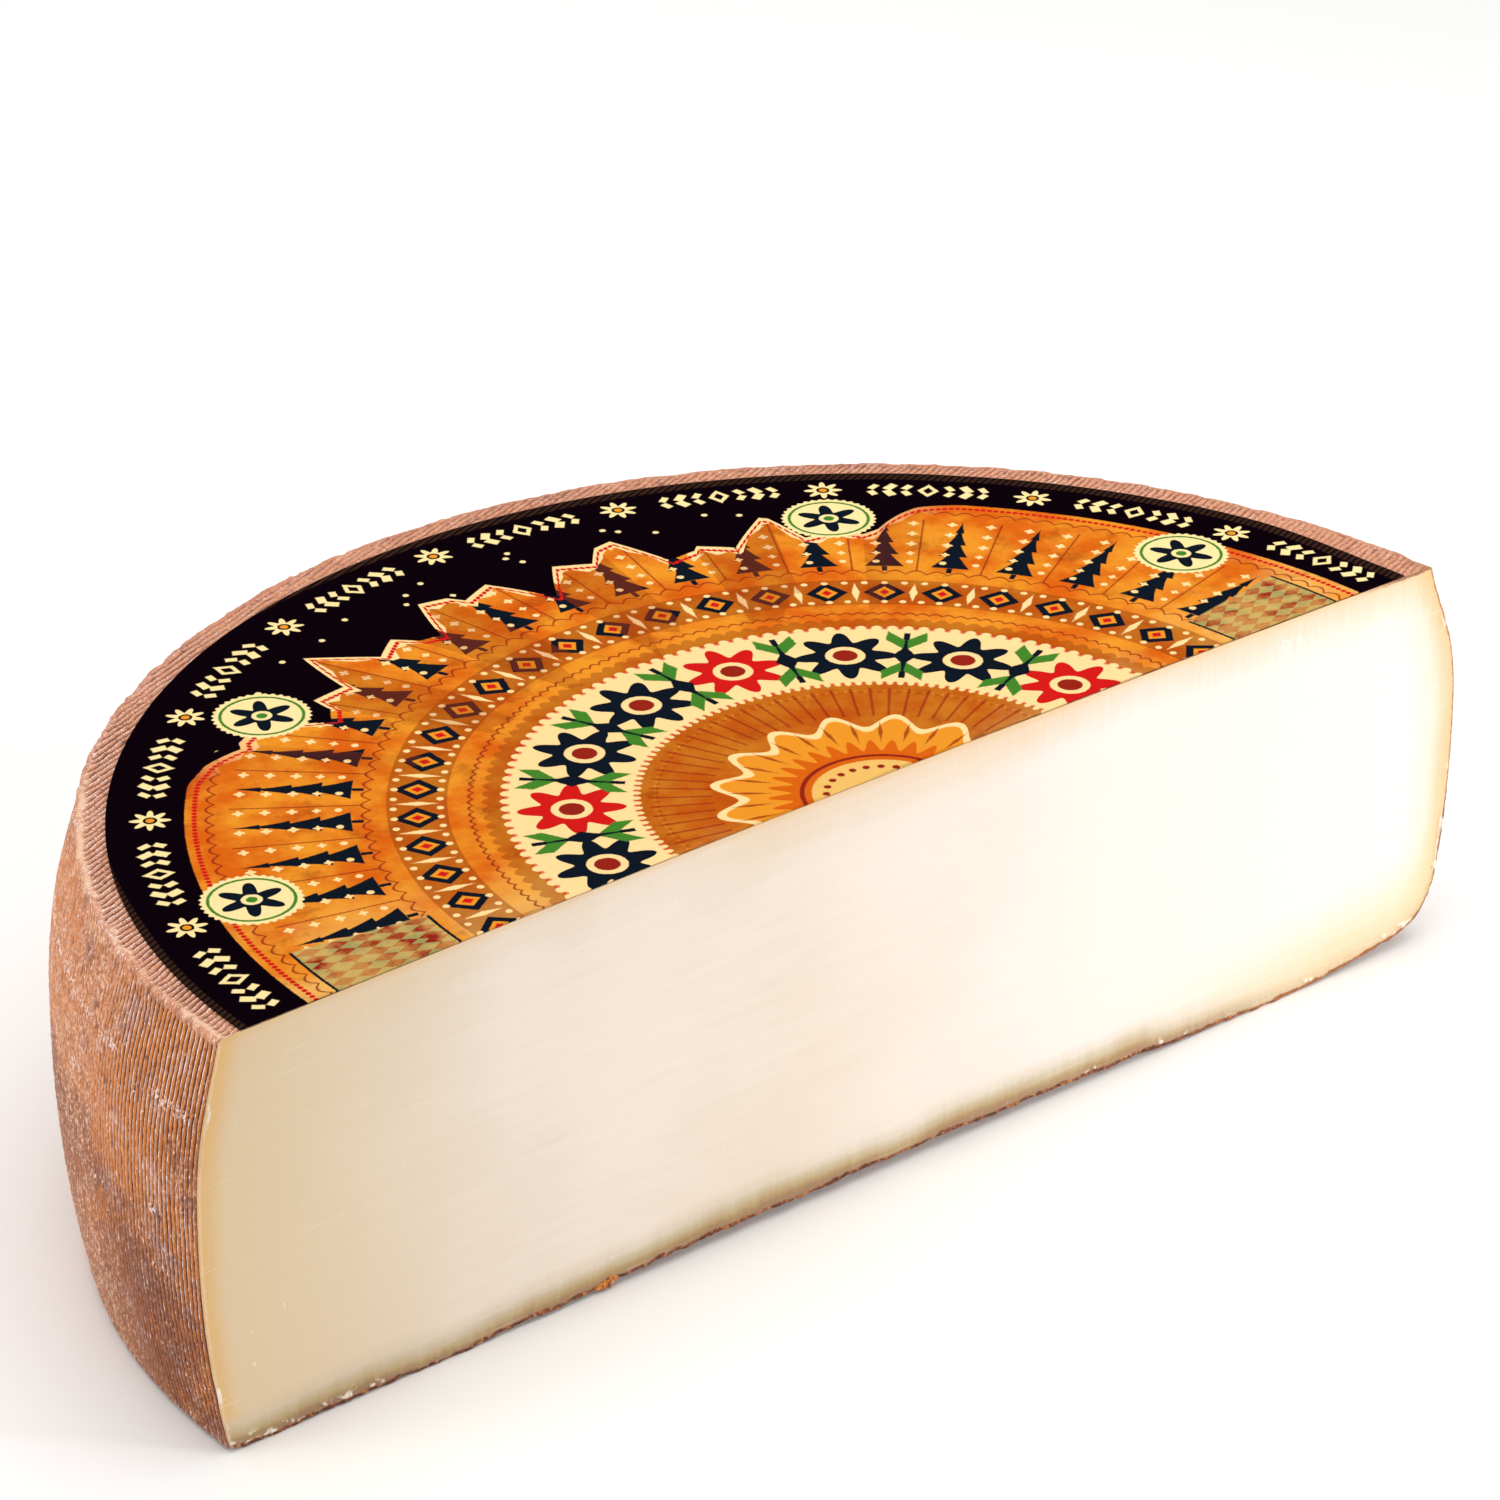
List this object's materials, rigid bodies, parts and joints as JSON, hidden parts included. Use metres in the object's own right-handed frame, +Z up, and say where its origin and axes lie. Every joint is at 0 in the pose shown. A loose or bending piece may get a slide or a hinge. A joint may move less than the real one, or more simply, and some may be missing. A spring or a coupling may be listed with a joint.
{
  "type": "alpine cheese half wheel",
  "caption": "Half a wheel of washed-rind alpine cheese standing on its base, with a ribbed bulging rind, a flat cut face and a thin printed label on its top.",
  "frame": {"origin": "middle of the base: the centre of the lowest face of the bounding box, on the surface that the half wheel stands on", "axes": "+Z up along the wheel's axis, +X along the cut towards the right end seen from the front, -Y out of the cut face"},
  "size_m": [0.3464, 0.1682, 0.0952],
  "materials": {
    "cheese": "smooth ivory paste on the cut face, dry ribbed golden-brown rind dusted pinkish white",
    "printed_label": "thin satin film printed in golden orange, cream, dark red and near black"
  },
  "bodies": {
    "root": {"cheese": "cheese", "label": "printed_label"}
  },
  "joints": []
}
